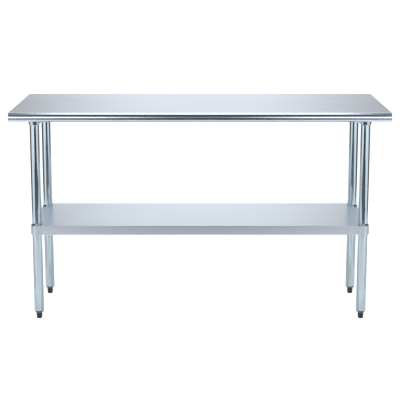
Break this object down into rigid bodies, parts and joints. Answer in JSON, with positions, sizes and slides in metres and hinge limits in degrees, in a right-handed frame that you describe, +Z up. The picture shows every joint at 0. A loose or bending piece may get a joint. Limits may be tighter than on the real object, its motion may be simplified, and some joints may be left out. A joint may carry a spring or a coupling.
{
  "type": "stainless work table",
  "caption": "Steel kitchen work table with a rolled front and rear edge, round tube legs, levelling feet and a height-adjustable galvanised undershelf.",
  "frame": {"origin": "on the floor, under the middle of the table", "axes": "+X along the table's length, +Y from its front edge to its rear edge, +Z up"},
  "size_m": [1.524, 0.61, 0.889],
  "materials": {
    "stainless_top": "430 stainless sheet brushed lengthwise, its rolls polished",
    "galvanised_sheet": "satin galvanised sheet with a faint spangle",
    "galvanised_tube": "bright galvanised tube with fine lengthwise streaks",
    "cast_alloy": "fine-grained die casting, satin",
    "zinc_hardware": "zinc-plated steel",
    "black_oxide": "black-oxide steel",
    "grey_plastic": "moulded dark grey nylon",
    "black_plastic": "moulded black nylon, lightly scuffed"
  },
  "bodies": {
    "table": {"tabletop_sheet": "stainless_top", "cross_channel_left": "galvanised_sheet", "cross_channel_right": "galvanised_sheet", "long_channel": "galvanised_sheet", "channel_nut_1": "zinc_hardware", "channel_nut_2": "zinc_hardware", "channel_nut_3": "zinc_hardware", "channel_nut_4": "zinc_hardware", "channel_nut_5": "zinc_hardware", "channel_nut_6": "zinc_hardware", "channel_nut_7": "zinc_hardware", "channel_nut_8": "zinc_hardware", "channel_nut_9": "zinc_hardware", "channel_nut_10": "zinc_hardware", "channel_nut_11": "zinc_hardware", "channel_nut_12": "zinc_hardware", "leg_socket_front_left": "galvanised_sheet", "leg_socket_front_right": "galvanised_sheet", "leg_socket_rear_left": "galvanised_sheet", "leg_socket_rear_right": "galvanised_sheet", "socket_screw_front_left": "black_oxide", "socket_screw_front_right": "black_oxide", "socket_screw_rear_left": "black_oxide", "socket_screw_rear_right": "black_oxide", "leg_tube_front_left": "galvanised_tube", "leg_tube_front_right": "galvanised_tube", "leg_tube_rear_left": "galvanised_tube", "leg_tube_rear_right": "galvanised_tube", "foot_insert_front_left": "grey_plastic", "foot_insert_front_right": "grey_plastic", "foot_insert_rear_left": "grey_plastic", "foot_insert_rear_right": "grey_plastic"},
    "undershelf": {"undershelf_sheet": "galvanised_sheet", "shelf_channel": "galvanised_sheet", "leg_clamp_front_left": "cast_alloy", "leg_clamp_front_right": "cast_alloy", "leg_clamp_rear_left": "cast_alloy", "leg_clamp_rear_right": "cast_alloy", "clamp_screw_front_left": "black_oxide", "clamp_screw_front_right": "black_oxide", "clamp_screw_rear_left": "black_oxide", "clamp_screw_rear_right": "black_oxide", "clamp_bolt_outer_front_left": "black_oxide", "clamp_bolt_inner_front_left": "black_oxide", "clamp_bolt_outer_front_right": "black_oxide", "clamp_bolt_inner_front_right": "black_oxide", "clamp_bolt_outer_rear_left": "black_oxide", "clamp_bolt_inner_rear_left": "black_oxide", "clamp_bolt_outer_rear_right": "black_oxide", "clamp_bolt_inner_rear_right": "black_oxide"},
    "stem_front_left": {"foot_stem_front_left": "zinc_hardware"},
    "foot_front_left": {"foot_front_left": "black_plastic"},
    "stem_front_right": {"foot_stem_front_right": "zinc_hardware"},
    "foot_front_right": {"foot_front_right": "black_plastic"},
    "stem_rear_left": {"foot_stem_rear_left": "zinc_hardware"},
    "foot_rear_left": {"foot_rear_left": "black_plastic"},
    "stem_rear_right": {"foot_stem_rear_right": "zinc_hardware"},
    "foot_rear_right": {"foot_rear_right": "black_plastic"}
  },
  "joints": [
    {"name": "undershelf_slide", "type": "slide", "parent": "table", "child": "undershelf", "axis": [0, 0, 1], "range_m": [-0.28, 0.33]},
    {"name": "foot_travel_front_left", "type": "slide", "parent": "table", "child": "stem_front_left", "axis": [0, 0, -1], "range_m": [0, 0.025]},
    {"name": "foot_turn_front_left", "type": "hinge", "parent": "stem_front_left", "child": "foot_front_left", "pos_m": [-0.675, -0.1735, 0.012], "axis": [0, 0, -1], "range_deg": [0, 4500]},
    {"name": "foot_travel_front_right", "type": "slide", "parent": "table", "child": "stem_front_right", "axis": [0, 0, -1], "range_m": [0, 0.025]},
    {"name": "foot_turn_front_right", "type": "hinge", "parent": "stem_front_right", "child": "foot_front_right", "pos_m": [0.675, -0.1735, 0.012], "axis": [0, 0, -1], "range_deg": [0, 4500]},
    {"name": "foot_travel_rear_left", "type": "slide", "parent": "table", "child": "stem_rear_left", "axis": [0, 0, -1], "range_m": [0, 0.025]},
    {"name": "foot_turn_rear_left", "type": "hinge", "parent": "stem_rear_left", "child": "foot_rear_left", "pos_m": [-0.675, 0.1735, 0.012], "axis": [0, 0, -1], "range_deg": [0, 4500]},
    {"name": "foot_travel_rear_right", "type": "slide", "parent": "table", "child": "stem_rear_right", "axis": [0, 0, -1], "range_m": [0, 0.025]},
    {"name": "foot_turn_rear_right", "type": "hinge", "parent": "stem_rear_right", "child": "foot_rear_right", "pos_m": [0.675, 0.1735, 0.012], "axis": [0, 0, -1], "range_deg": [0, 4500]}
  ],
  "couplings": [
    {"joint": "foot_turn_front_left", "follows": "foot_travel_front_left", "rad_per_m": 3141.6},
    {"joint": "foot_turn_front_right", "follows": "foot_travel_front_right", "rad_per_m": 3141.6},
    {"joint": "foot_turn_rear_left", "follows": "foot_travel_rear_left", "rad_per_m": 3141.6},
    {"joint": "foot_turn_rear_right", "follows": "foot_travel_rear_right", "rad_per_m": 3141.6}
  ]
}
